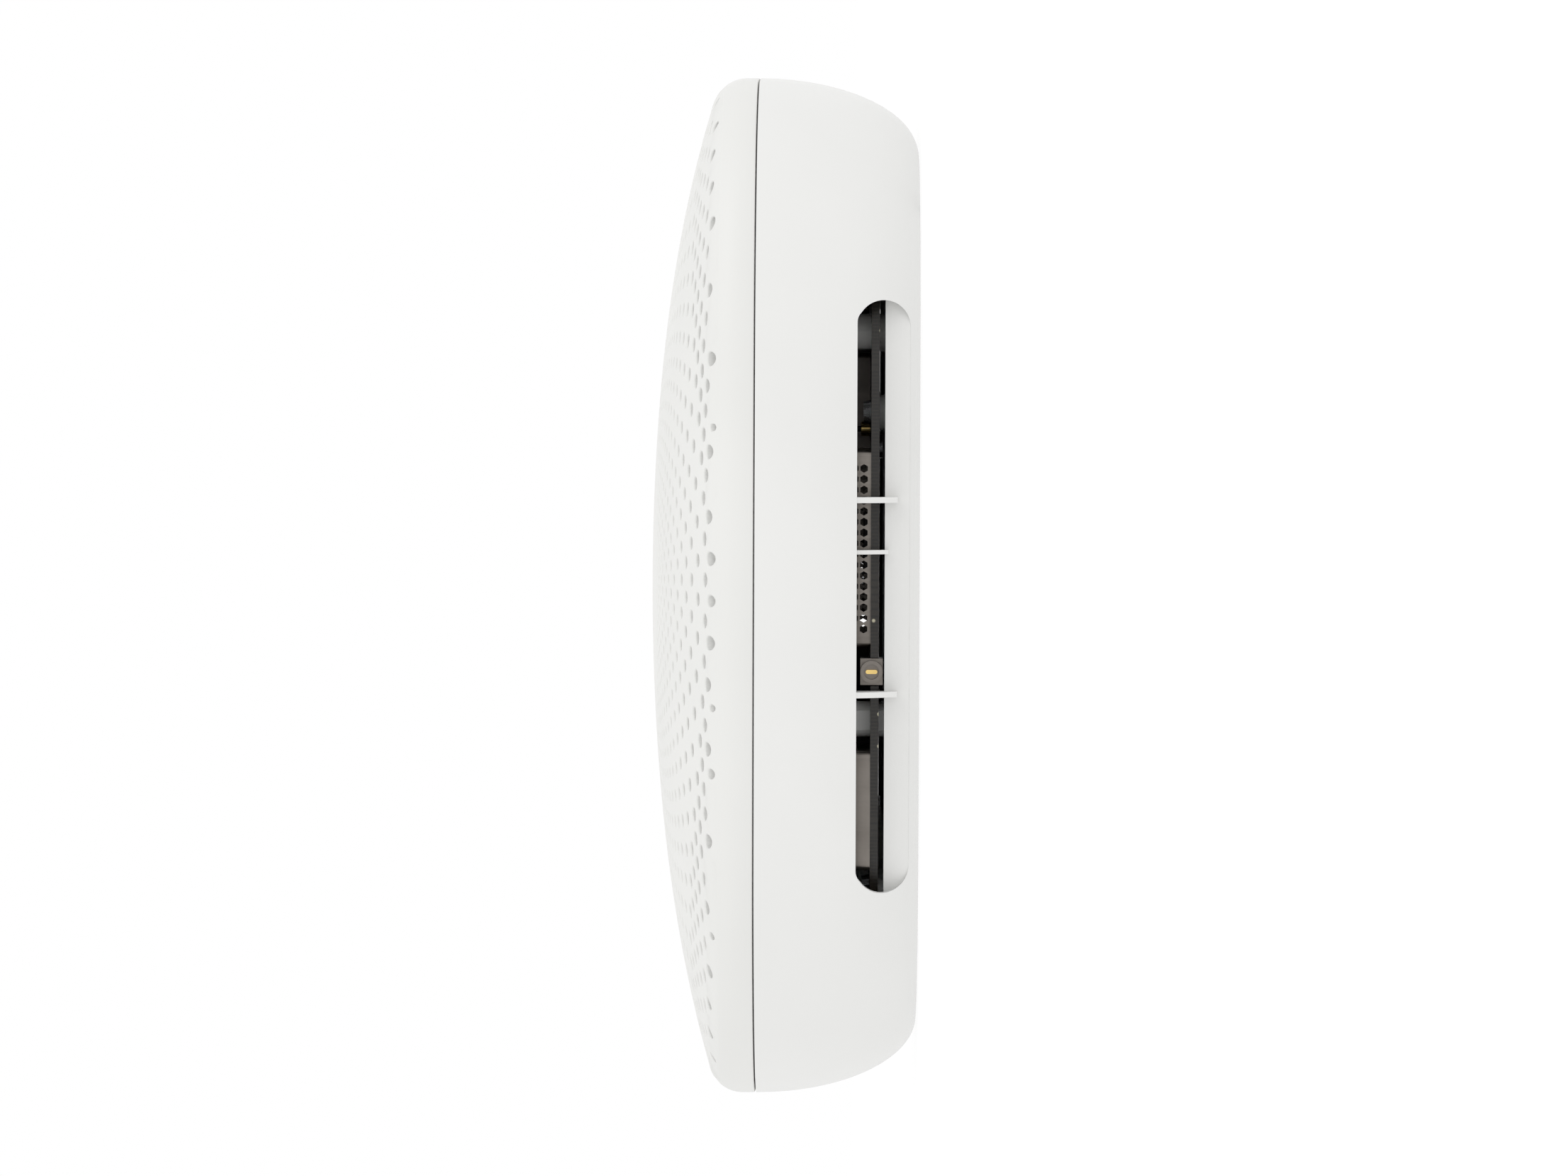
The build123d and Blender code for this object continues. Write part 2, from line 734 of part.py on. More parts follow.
with BuildPart() as reset_button:
    button_y = bay_high_y - button_proud
    button_plane = Plane(origin=(reset_x, button_y, reset_z), x_dir=(1, 0, 0), z_dir=(0, 1, 0))
    with BuildSketch(button_plane):
        Circle(reset_diameter / 2)
    extrude(amount=reset_switch_y - reset_travel - 0.3 - button_y)
    with BuildSketch(button_plane.offset(button_proud + bay_wall + 0.3)):
        Circle(reset_flange / 2)
    extrude(amount=0.8)
    fillet(reset_button.edges().group_by(Axis.Y)[0], 0.4)
finish(reset_button, "reset_button")

# coaxial connector let into the board's edge, facing the vent
edge_plane = Plane(
    origin=(connector_x, connector_y, connector_z), x_dir=(0, 1, 0), z_dir=(1, 0, 0)
)
with BuildPart() as edge_connector:
    with BuildSketch(edge_plane):
        Rectangle(5.2, 4.4)
    extrude(amount=-6)
    with BuildSketch(edge_plane):
        Circle(2.2)
        Circle(1.5, mode=Mode.SUBTRACT)
    extrude(amount=1.2)
finish(edge_connector, "edge_connector")

with BuildPart() as edge_connector_pin:
    with BuildSketch(edge_plane):
        SlotOverall(2.3, 0.8, rotation=90)
    extrude(amount=1.0)
finish(edge_connector_pin, "edge_connector_pin")

with BuildPart() as status_led:
    add(block((-1.6, 1.6), (-1.4, 1.4), (board_top, board_top + 0.8)))
    chamfer(status_led.edges().group_by(Axis.Z)[-1], 0.2)
finish(status_led, "status_led")


# ---------------------------------------------------------------- ground plate and antennas
antenna_places = [(sx * 46, sy * 46) for sx in (-1, 1) for sy in (-1, 1)]
lead_hole = 5.0

with BuildPart() as ground_plate:
    with BuildSketch(Plane.XY.offset(plate_z)):
        add(outline(plate_inset))
        Circle(light_pipe_diameter / 2 + 0.5, mode=Mode.SUBTRACT)
        with Locations(*cover_screw_places):
            Circle(cover_boss / 2 + 0.8, mode=Mode.SUBTRACT)
        with Locations(*plate_screw_places):
            Circle(plate_screw / 2 + 0.2, mode=Mode.SUBTRACT)
        with Locations(*[(0.7 * x, 0.7 * y) for x, y in antenna_places]):
            Circle(lead_hole / 2, mode=Mode.SUBTRACT)
    extrude(amount=plate_thickness)
finish(ground_plate, "ground_plate")

with BuildPart() as plate_screws:
    add(screws(plate_screw_places, plate_screw, 5.6, 1.8, plate_top, plate_z - 8, 3.4))
finish(plate_screws, "plate_screws")

with BuildPart() as light_pipe:
    add(rods([(0, 0)], light_pipe_diameter, board_top + 1.0, light_pipe_top))
    add(rods([(0, 0)], light_pipe_diameter + 5, plate_top, plate_top + 1.2))
    fillet(light_pipe.edges().group_by(Axis.Z)[-1], 1.0)
finish(light_pipe, "light_pipe")

with BuildPart() as antenna_supports:
    for x, y in antenna_places:
        with BuildSketch(Plane.XY.offset(plate_top)):
            with Locations((x, y)):
                RectangleRounded(26, 12, 2)
        extrude(amount=8)
        with BuildSketch(Plane.XY.offset(plate_top + 8)):
            with Locations((x, y)):
                Rectangle(20, 6, mode=Mode.ADD)
        extrude(amount=-6, mode=Mode.SUBTRACT)
finish(antenna_supports, "antenna_supports")

with BuildPart() as antennas:
    sheet = 0.4
    foot_z = plate_top + 8
    for x, y in antenna_places:
        out = math.copysign(1, y)
        front, back = sorted((y + out * 5, y + out * (5 - sheet)))
        near, far = sorted((y + out * 5, y - out * 5))
        add(block((x - 12, x + 12), (near, far), (foot_z, foot_z + sheet)))
        add(block((x - 12, x + 12), (front, back), (foot_z, foot_z + 7)))
        add(block((x - 12, x - 2), (near, far), (foot_z + 7 - sheet, foot_z + 7)))
        add(block((x + 4, x + 12), (near, far), (foot_z + 7 - sheet, foot_z + 7)))
finish(antennas, "antennas")

with BuildPart() as scan_antenna:
    with BuildSketch(Plane.XY.offset(plate_top + 4)):
        with Locations((-60, 0)):
            RectangleRounded(12, 40, 1)
    extrude(amount=0.8)
    with BuildSketch(Plane.XY.offset(plate_top)):
        with Locations((-60, -16), (-60, 16)):
            Circle(2)
    extrude(amount=4)
finish(scan_antenna, "scan_antenna")

with BuildPart() as coax_plugs:
    for x, y in antenna_places:
        with BuildSketch(Plane.XY.offset(board_top)):
            with Locations((0.7 * x, 0.7 * y)):
                Circle(1.5)
        extrude(amount=1.8)
finish(coax_plugs, "coax_plugs")

with BuildPart() as antenna_leads:
    lead_radius = 0.6
    for x, y in antenna_places:
        start = Vector(0.7 * x, 0.7 * y, board_top + 1.8)
        above = Vector(start.X, start.Y, plate_top + 5)
        end = Vector(x - math.copysign(8.0, x), y - math.copysign(6.7, y), plate_top + 5)
        with BuildLine() as route:
            FilletPolyline(start, above, end, radius=3.5)
        with BuildSketch(Plane(origin=start, z_dir=(0, 0, 1))):
            Circle(lead_radius)
        sweep(path=route.line)
finish(antenna_leads, "antenna_leads")


# ---------------------------------------------------------------- label and bracket
with BuildPart() as rating_label:
    with BuildSketch(Plane.XY.offset(0.05)):
        with Locations((0, 70)):
            RectangleRounded(55, 23, 1.6)
    extrude(amount=0.25)
finish(rating_label, "rating_label")

with BuildPart() as bracket_studs:
    for radius, low, high in (
        (stud_head / 2, stud_head_z[0], stud_head_z[1]),
        (stud_shank / 2, stud_head_z[1], recess_top),
        (stud_shank / 2 + 0.7, recess_top, recess_top + 0.8),
    ):
        with BuildSketch(Plane.XY.offset(low)):
            with PolarLocations(stud_circle, len(stud_angles), start_angle=stud_angles[0]):
                Circle(radius)
        extrude(amount=high - low)
    chamfer(bracket_studs.edges().group_by(Axis.Z)[0], 0.3)
finish(bracket_studs, "bracket_studs")

with BuildPart() as mounting_bracket:
    # pressed section: flat middle, upright step and raised flange
    step_inner = bracket_pan_radius - bracket_sheet
    flange_top = flange_z + bracket_sheet
    with BuildSketch(Plane.XZ) as section:
        with BuildLine():
            Polyline(
                (bracket_bore / 2, 0),
                (bracket_pan_radius, 0),
                (bracket_pan_radius, flange_z),
                (bracket_radius, flange_z),
                (bracket_radius, flange_top),
                (step_inner, flange_top),
                (step_inner, bracket_sheet),
                (bracket_bore / 2, bracket_sheet),
                close=True,
            )
        make_face()
        for bend, radius in (
            ((bracket_pan_radius, 0), bend_outside),
            ((bracket_pan_radius, flange_z), bend_inside),
            ((step_inner, flange_top), bend_outside),
            ((step_inner, bracket_sheet), bend_inside),
        ):
            fillet(section.vertices().sort_by_distance(bend)[0], radius)
    revolve(axis=Axis.Z)
    # screw holes for the ceiling box
    with BuildSketch():
        with PolarLocations(box_hole_circle / 2, 4):
            Circle(box_hole / 2)
    extrude(amount=bracket_sheet, mode=Mode.SUBTRACT)
    # keyholes: an arc for the stud's shank and an entry for its head
    with BuildSketch(Plane.XY.offset(flange_z - 0.1)):
        for angle in stud_angles:
            with BuildLine():
                near = CenterArc((0, 0), stud_circle - keyhole_width / 2, angle - twist, twist)
                far = CenterArc((0, 0), stud_circle + keyhole_width / 2, angle - twist, twist)
                Line(near @ 0, far @ 0)
                Line(near @ 1, far @ 1)
            make_face()
            with PolarLocations(stud_circle, 1, start_angle=angle):
                Circle(keyhole_width / 2)
            with PolarLocations(stud_circle, 1, start_angle=angle - twist):
                Circle(keyhole_entry / 2)
    extrude(amount=bracket_sheet + 0.2, mode=Mode.SUBTRACT)
finish(mounting_bracket, "mounting_bracket")
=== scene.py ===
"""Ceiling access point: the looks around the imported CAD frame. Metres, +Z out of the dome."""

import json
import math

import bpy
import numpy as np
from mathutils import Matrix, Vector
from mathutils.geometry import delaunay_2d_cdt


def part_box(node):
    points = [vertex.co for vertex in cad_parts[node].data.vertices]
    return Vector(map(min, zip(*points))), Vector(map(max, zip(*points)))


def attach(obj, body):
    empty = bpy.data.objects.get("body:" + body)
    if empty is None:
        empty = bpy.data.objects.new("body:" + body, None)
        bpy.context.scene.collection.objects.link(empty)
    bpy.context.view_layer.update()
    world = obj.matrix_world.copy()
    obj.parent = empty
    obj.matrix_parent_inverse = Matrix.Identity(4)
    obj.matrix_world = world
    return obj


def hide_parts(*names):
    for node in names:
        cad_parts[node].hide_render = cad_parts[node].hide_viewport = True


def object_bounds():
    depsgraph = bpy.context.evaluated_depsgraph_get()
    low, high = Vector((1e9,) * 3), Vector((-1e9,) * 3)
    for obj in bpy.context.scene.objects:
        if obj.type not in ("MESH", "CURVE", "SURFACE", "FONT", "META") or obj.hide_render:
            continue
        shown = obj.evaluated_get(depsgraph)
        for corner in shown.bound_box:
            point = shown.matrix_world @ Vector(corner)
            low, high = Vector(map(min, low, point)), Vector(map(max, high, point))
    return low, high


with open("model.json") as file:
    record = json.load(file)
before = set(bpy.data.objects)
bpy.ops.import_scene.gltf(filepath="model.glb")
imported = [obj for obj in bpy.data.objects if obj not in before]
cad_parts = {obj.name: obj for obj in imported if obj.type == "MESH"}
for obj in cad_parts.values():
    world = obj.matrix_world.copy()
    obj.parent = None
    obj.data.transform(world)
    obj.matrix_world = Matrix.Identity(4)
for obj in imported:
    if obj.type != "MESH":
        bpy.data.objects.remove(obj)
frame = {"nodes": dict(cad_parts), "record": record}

cad_low, cad_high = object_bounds()
scene = bpy.context.scene
nodes = frame["nodes"]
MM = 0.001


# ---------------------------------------------------------------- camera
LENS = 139.2
CAMERA_X = 1.280
CAMERA_Y = 0.045
CAMERA_RISE = 0.015  # above the flat back
AIM_SHIFT = -1.8 * MM  # along Y, from the middle of the object
CAMERA_ROLL = math.radians(0.2)


def add_camera():
    """Long lens level with the vented side: the dome points left, the flat back right."""
    data = bpy.data.cameras.new("camera")
    data.sensor_width = 36.0
    data.lens = LENS
    data.clip_start = 0.01
    data.clip_end = 20.0
    camera = bpy.data.objects.new("camera", data)
    scene.collection.objects.link(camera)
    camera.location = (CAMERA_X, CAMERA_Y, cad_low.z + CAMERA_RISE)
    aim = (cad_low + cad_high) / 2 + Vector((0, AIM_SHIFT, 0))
    forward = (aim - camera.location).normalized()
    right = forward.cross(Vector((0, 1, 0))).normalized()
    above = right.cross(forward)
    turn = Matrix((right, above, -forward)).transposed()
    roll = Matrix.Rotation(CAMERA_ROLL, 3, "Z")
    camera.rotation_mode = "QUATERNION"
    camera.rotation_quaternion = (turn @ roll).to_quaternion()
    scene.camera = camera


add_camera()


# ---------------------------------------------------------------- shape of the dome
cover_low, cover_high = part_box("front_cover")
housing_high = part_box("rear_housing")[1]
HALF = cover_high.x
TOP_Z = cover_high.z
SEAM_GAP = 0.26 * MM
RIM_Z = housing_high.z + SEAM_GAP  # lower edge of the cover
WALL = 2.2 * MM
EDGE_RADIUS = 7.0 * MM
EDGE_Z = RIM_Z + 2.66 * MM  # where the rounding starts
SEAM_ROUND = 0.34 * MM  # softened lower corner of the cover
SEAM_CHAMFER = 0.10 * MM
LIP_OUTER = 2.45 * MM  # faces of the lip, in from the side
LIP_INNER = 3.65 * MM
CROWN_SQUARE = 11.2 * MM
CROWN_FOURTH = 3.7 * MM
BLEND_HALF = 100.15 * MM  # where the crown meets the rounding
INNER_END = 102.5 * MM  # where the inner face leaves its rounding
SIDE_BOW = 5.24
CORNER_ROUND = 0.552
LEVEL_STEPS = 34  # halvings when a contour is sought
SOFT_CORNER = math.radians(40)  # section corners sharper than this stay hard


def contour_sizes(half):
    """Side radius, corner radius and corner centre of the dome's contour at a half width."""
    level = half / HALF
    side = half * (1 + (SIDE_BOW - 1) * level**1.48)
    corner = half * (1 - (1 - CORNER_ROUND) * level**1.17)
    m = side - half
    n = side - corner
    return side, corner, (np.sqrt(2 * n * n - m * m) - m) / 2


def contour_reach(half, angle):
    """Distance from the axis to a contour in a direction."""
    folded = np.abs((angle + np.pi / 4) % (np.pi / 2) - np.pi / 4)
    side, corner, centre = contour_sizes(half)
    m = side - half
    factor = side / (side - corner)
    tangent = np.arctan2(centre * factor, (centre + m) * factor - m)
    k = centre * (np.cos(folded) + np.sin(folded))
    on_side = np.sqrt(side**2 - (m * np.sin(folded)) ** 2) - m * np.cos(folded)
    on_corner = k + np.sqrt(np.maximum(k * k - 2 * centre**2 + corner**2, 0))
    return np.where(folded < tangent, on_side, on_corner)


def dome_level(x, y):
    """Half width of the contour through each point."""
    radius = np.hypot(x, y)
    angle = np.arctan2(y, x)
    low = np.full_like(radius, 1e-7)
    high = np.full_like(radius, HALF * 1.02)
    for _ in range(LEVEL_STEPS):
        middle = (low + high) / 2
        inside = contour_reach(middle, angle) > radius
        high = np.where(inside, middle, high)
        low = np.where(inside, low, middle)
    return (low + high) / 2


def level_direction(x, y):
    """Unit vector across the contours, pointing outward."""
    step = 0.05 * MM
    dx = dome_level(x + step, y) - dome_level(x - step, y)
    dy = dome_level(x, y + step) - dome_level(x, y - step)
    size = np.maximum(np.hypot(dx, dy), 1e-12)
    return dx / size, dy / size, size / (2 * step)


def crown(half):
    level = half / HALF
    return TOP_Z - CROWN_SQUARE * level**2 - CROWN_FOURTH * level**4


def crown_fall(half):
    """Slope of the crown, down towards the edge."""
    level = half / HALF
    return (2 * CROWN_SQUARE * level + 4 * CROWN_FOURTH * level**3) / HALF


def arc_height(half, radius):
    """Height of the rounding between side and crown, or of its inner twin."""
    run = np.clip(half - (HALF - EDGE_RADIUS), 0, radius)
    return EDGE_Z + np.sqrt(radius**2 - run**2)


def skin(half):
    """Height of the outer face: crown, then the rounding."""
    return np.where(half < BLEND_HALF, crown(half), arc_height(half, EDGE_RADIUS))


def skin_fall(half):
    """Slope of the outer face, down towards the edge."""
    run = np.clip(half - (HALF - EDGE_RADIUS), 0, 0.95 * EDGE_RADIUS)
    return np.where(half < BLEND_HALF, crown_fall(half), run / np.sqrt(EDGE_RADIUS**2 - run**2))


def under(half):
    """Height of the cover's inner face."""
    flat = crown(half) - WALL * np.sqrt(1 + crown_fall(half) ** 2)
    inner_radius = EDGE_RADIUS - WALL
    round_part = arc_height(np.minimum(half, INNER_END), inner_radius)
    drop = np.maximum(half - INNER_END, 0)
    return np.minimum(flat, round_part) - drop


# ---------------------------------------------------------------- perforation
RING_HOLES = 78
RING_TURN = math.radians(-0.4)
FULL_RING = 99.4 * MM  # outermost ring clear of the rim
RING_RATIO = 0.9495  # each ring inside it to the one before
INNER_RINGS = 16
RIM_RINGS = (101.9 * MM, 104.25 * MM, 106.6 * MM)  # closer together where the dome falls away
CORNER_STEP = 3.2 * MM
CORNER_RINGS = 6
FIELD_HALF = 103.5 * MM  # contour round the grille
FIELD_MARGIN = 0.1 * MM  # from that contour to the border holes
RIM_SIDES = 16
RIM_ROUND = 0.42 * MM
FULL_RIM = 1.75 * MM
RIM_POWER = 0.75
LEAST_RIM = 0.8 * MM
BORDER_POINTS = 432
FILL_RINGS = 11  # in the closed middle
FILL_STEP = 4.0 * MM


def ring_radii():
    """Ring number and radius, counted inward from the outermost full ring."""
    rings = [(k, FULL_RING * RING_RATIO**k) for k in range(INNER_RINGS)]
    rings += [(-1 - k, radius) for k, radius in enumerate(RIM_RINGS)]
    first = -1 - len(RIM_RINGS)
    rings += [(first - k, RIM_RINGS[-1] + (k + 1) * CORNER_STEP) for k in range(CORNER_RINGS)]
    return rings


def hole_places():
    """Centres and rim radii of the grille's holes, ring by ring."""
    x, y, full = [], [], []
    for ring, radius in ring_radii():
        size = FULL_RIM * min(1.0, (radius / FULL_RING) ** RIM_POWER)
        for step in range(RING_HOLES):
            angle = 2 * math.pi / RING_HOLES * (step + 0.5 * (1 - ring % 2)) + RING_TURN
            x.append(radius * math.cos(angle))
            y.append(radius * math.sin(angle))
            full.append(size)
    x, y, full = np.array(x), np.array(y), np.array(full)
    rim = np.minimum(full, FIELD_HALF - FIELD_MARGIN - dome_level(x, y))
    kept = rim > LEAST_RIM
    return x[kept], y[kept], rim[kept]


def fill_places():
    """Points that carry the dome's curve across the closed middle."""
    x, y = [0.0], [0.0]
    for ring in range(1, FILL_RINGS + 1):
        radius = ring * FILL_STEP
        count = 6 * ring + 6
        angle = 2 * np.pi * (np.arange(count) + 0.5 * (ring % 2)) / count
        x.extend(radius * np.cos(angle))
        y.extend(radius * np.sin(angle))
    return np.array(x), np.array(y)


def profile_normals(profile):
    """For each stretch of a section line, the (outward, up) normals at its two ends."""
    points = np.array(profile)
    along = points[1:] - points[:-1]
    along /= np.hypot(along[:, 0], along[:, 1])[:, None]
    flat = np.stack([-along[:, 1], along[:, 0]], 1)
    ends = []
    for i, own in enumerate(flat):
        pair = []
        for other in (flat[max(i - 1, 0)], flat[min(i + 1, len(flat) - 1)]):
            soft = own @ other > math.cos(SOFT_CORNER)
            pair.append((own + other) / 2 if soft else own)
        ends.append(pair)
    return ends


def build_cover():
    """Dome shell with every hole cut through, each with a softened rim and a straight bore."""
    hole_x, hole_y, hole_rim = hole_places()
    holes = len(hole_x)
    turn = 2 * np.pi * np.arange(RIM_SIDES) / RIM_SIDES
    cos, sin = np.cos(turn), np.sin(turn)

    def circles(radius):
        return (hole_x[:, None] + radius[:, None] * cos).ravel(), (
            hole_y[:, None] + radius[:, None] * sin
        ).ravel()

    border_turn = 2 * np.pi * np.arange(BORDER_POINTS) / BORDER_POINTS
    border = contour_reach(np.full(BORDER_POINTS, FIELD_HALF), border_turn)
    fill_x, fill_y = fill_places()
    rim_x, rim_y = circles(hole_rim)
    x = np.concatenate([border * np.cos(border_turn), rim_x, fill_x])
    y = np.concatenate([border * np.sin(border_turn), rim_y, fill_y])

    # triangles of the plan, left open inside each hole
    edges = [(i, (i + 1) % BORDER_POINTS) for i in range(BORDER_POINTS)]
    for hole in range(holes):
        first = BORDER_POINTS + hole * RIM_SIDES
        edges += [(first + i, first + (i + 1) % RIM_SIDES) for i in range(RIM_SIDES)]
    plan = [Vector((a, b)) for a, b in zip(x / MM, y / MM)]
    found = delaunay_2d_cdt(plan, edges, [], 0, 1e-6, True)
    source = [origin[0] for origin in found[3]]
    triangles = np.array([[source[v] for v in face] for face in found[2]])
    owner = np.full(len(x), -1)
    owner[BORDER_POINTS:BORDER_POINTS + holes * RIM_SIDES] = np.repeat(np.arange(holes), RIM_SIDES)
    own = owner[triangles]
    in_hole = (own[:, 0] >= 0) & (own[:, 0] == own[:, 1]) & (own[:, 1] == own[:, 2])
    triangles = triangles[~in_hole]
    a, b, c = (np.stack([x[t], y[t]], 1) for t in triangles.T)
    area = (b - a)[:, 0] * (c - a)[:, 1] - (b - a)[:, 1] * (c - a)[:, 0]
    triangles[area < 0] = triangles[area < 0][:, ::-1]

    # layers: outer skin, two rings of the rounded rim, and the inner face with the bore's end
    soft = np.minimum(RIM_ROUND, hole_rim * 0.3)
    diagonal = math.sqrt(0.5)
    mid_x, mid_y = circles(hole_rim - soft * diagonal)
    bore_x, bore_y = circles(hole_rim - soft)
    under_x, under_y = x.copy(), y.copy()
    rims = slice(BORDER_POINTS, BORDER_POINTS + holes * RIM_SIDES)
    under_x[rims], under_y[rims] = bore_x, bore_y
    round_drop = np.repeat(soft, RIM_SIDES)
    skin_z = skin(dome_level(x, y))
    mid_z = skin(dome_level(mid_x, mid_y)) - round_drop * (1 - diagonal)
    bore_z = skin(dome_level(bore_x, bore_y)) - round_drop
    under_z = under(dome_level(under_x, under_y))
    points = [
        np.stack([x, y, skin_z], 1),
        np.stack([mid_x, mid_y, mid_z], 1),
        np.stack([bore_x, bore_y, bore_z], 1),
        np.stack([under_x, under_y, under_z], 1),
    ]
    mid_start = len(x)
    bore_start = mid_start + len(mid_x)
    under_start = bore_start + len(bore_x)

    gx, gy, rate = level_direction(x, y)
    fall = skin_fall(dome_level(x, y)) * rate
    skin_normal = np.stack([gx * fall, gy * fall, np.ones_like(x)], 1)
    skin_normal /= np.linalg.norm(skin_normal, axis=1)[:, None]
    inward = -np.stack([np.tile(cos, holes), np.tile(sin, holes), np.zeros(holes * RIM_SIDES)], 1)
    mid_normal = skin_normal[rims] + inward
    mid_normal /= np.linalg.norm(mid_normal, axis=1)[:, None]

    faces = [triangles, triangles[:, ::-1] + under_start]
    normals = [skin_normal[triangles], -skin_normal[triangles[:, ::-1]]]
    here = np.arange(holes * RIM_SIDES)
    after = (here // RIM_SIDES) * RIM_SIDES + (here + 1) % RIM_SIDES
    layers = [
        (BORDER_POINTS, skin_normal[rims]),
        (mid_start, mid_normal),
        (bore_start, inward),
        (under_start + BORDER_POINTS, inward),
    ]
    for (upper, upper_normal), (lower, lower_normal) in zip(layers, layers[1:]):
        faces.append(np.stack([upper + here, upper + after, lower + after, lower + here], 1))
        normals.append(
            np.stack(
                [upper_normal[here], upper_normal[after], lower_normal[after], lower_normal[here]], 1
            )
        )

    # edge band: rounding, side, seam edge, lip and back up inside to the field's border
    arc_half = HALF - EDGE_RADIUS
    profile = [(FIELD_HALF, float(skin(FIELD_HALF)))]
    for degrees in (32, 24, 16, 8, 0):
        angle = math.radians(degrees)
        profile.append(
            (arc_half + EDGE_RADIUS * math.cos(angle), EDGE_Z + EDGE_RADIUS * math.sin(angle))
        )
    profile += [
        (HALF, RIM_Z + SEAM_ROUND),
        (HALF - SEAM_CHAMFER, RIM_Z + SEAM_CHAMFER),
        (HALF - SEAM_ROUND, RIM_Z),
        (HALF - LIP_OUTER, RIM_Z),
        (HALF - LIP_OUTER, cover_low.z),
        (HALF - LIP_INNER, cover_low.z),
        (HALF - LIP_INNER, EDGE_Z),
        (HALF - WALL, EDGE_Z),
        (FIELD_HALF, float(under(FIELD_HALF))),
    ]
    start = under_start + len(under_x)
    rings = [np.arange(BORDER_POINTS)]
    for half, z in profile[1:-1]:
        reach = contour_reach(np.full(BORDER_POINTS, half), border_turn)
        ring = np.stack([reach * np.cos(border_turn), reach * np.sin(border_turn)], 1)
        points.append(np.column_stack([ring, np.full(BORDER_POINTS, z)]))
        rings.append(start + np.arange(BORDER_POINTS))
        start += BORDER_POINTS
    rings.append(under_start + np.arange(BORDER_POINTS))
    ox, oy, _ = level_direction(x[:BORDER_POINTS], y[:BORDER_POINTS])
    for near, far, (at_near, at_far) in zip(rings, rings[1:], profile_normals(profile)):
        faces.append(np.stack([near, far, np.roll(far, -1), np.roll(near, -1)], 1))
        near_n, far_n = (
            np.stack([ox * out, oy * out, np.full_like(ox, up)], 1) for out, up in (at_near, at_far)
        )
        normals.append(np.stack([near_n, far_n, np.roll(far_n, -1, 0), np.roll(near_n, -1, 0)], 1))

    return add_mesh("cover_shell", np.concatenate(points), faces, normals)


def add_mesh(name, points, face_groups, normal_groups=None):
    """Mesh object from groups of equal-sided faces, with a normal for each face corner."""
    mesh = bpy.data.meshes.new(name)
    corners = np.concatenate([group.ravel() for group in face_groups])
    sizes = np.concatenate([np.full(len(group), group.shape[1]) for group in face_groups])
    starts = np.concatenate([[0], np.cumsum(sizes)[:-1]])
    mesh.vertices.add(len(points))
    mesh.vertices.foreach_set("co", points.astype(np.float32).ravel())
    mesh.loops.add(len(corners))
    mesh.loops.foreach_set("vertex_index", corners.astype(np.int32))
    mesh.polygons.add(len(sizes))
    mesh.polygons.foreach_set("loop_start", starts.astype(np.int32))
    mesh.update(calc_edges=True)
    mesh.validate()
    mesh.polygons.foreach_set("use_smooth", np.ones(len(sizes), bool))
    if normal_groups is not None:
        split = np.concatenate([group.reshape(-1, 3) for group in normal_groups])
        split /= np.linalg.norm(split, axis=1)[:, None]
        mesh.normals_split_custom_set([tuple(n) for n in split.tolist()])
    made = bpy.data.objects.new(name, mesh)
    scene.collection.objects.link(made)
    return made


# ---------------------------------------------------------------- materials
def new_material(name):
    """Material with one Principled shader; returns it, its node tree and the shader."""
    made = bpy.data.materials.new(name)
    made.use_nodes = True
    tree = made.node_tree
    shader = next(n for n in tree.nodes if n.type == "BSDF_PRINCIPLED")
    return made, tree, shader


def add_node(tree, kind, **settings):
    made = tree.nodes.new(kind)
    for key, value in settings.items():
        if key in made.inputs:
            made.inputs[key].default_value = value
        else:
            setattr(made, key, value)
    return made


def noise(tree, where, scale, detail=4.0, roughness=0.5):
    made = add_node(tree, "ShaderNodeTexNoise", Scale=scale, Detail=detail, Roughness=roughness)
    tree.links.new(where, made.inputs["Vector"])
    return made


def place(tree, stretch=(1, 1, 1)):
    """Coordinates in the object's own metres, stretched along the axes if asked."""
    source = add_node(tree, "ShaderNodeTexCoord")
    if stretch == (1, 1, 1):
        return source.outputs["Object"]
    made = add_node(tree, "ShaderNodeMapping", Scale=stretch)
    tree.links.new(source.outputs["Object"], made.inputs["Vector"])
    return made.outputs["Vector"]


def ramp(tree, value, low, high, start=0.3, end=0.7):
    """Blends two colours (or greys) over a stretch of a value."""
    made = add_node(tree, "ShaderNodeValToRGB")
    stops = made.color_ramp.elements
    stops[0].position, stops[1].position = start, end
    stops[0].color, stops[1].color = [(*c, 1) if len(c) == 3 else c for c in (low, high)]
    tree.links.new(value, made.inputs["Fac"])
    return made.outputs["Color"]


def spread(tree, value, low, high):
    made = add_node(tree, "ShaderNodeMapRange")
    made.inputs["To Min"].default_value = low
    made.inputs["To Max"].default_value = high
    tree.links.new(value, made.inputs["Value"])
    return made.outputs["Result"]


def bump(tree, shader, height, distance, strength=1.0):
    made = add_node(tree, "ShaderNodeBump", Strength=strength, Distance=distance)
    tree.links.new(height, made.inputs["Height"])
    tree.links.new(made.outputs["Normal"], shader.inputs["Normal"])


def shade(colour, factor):
    return tuple(min(1.0, c * factor) for c in colour)


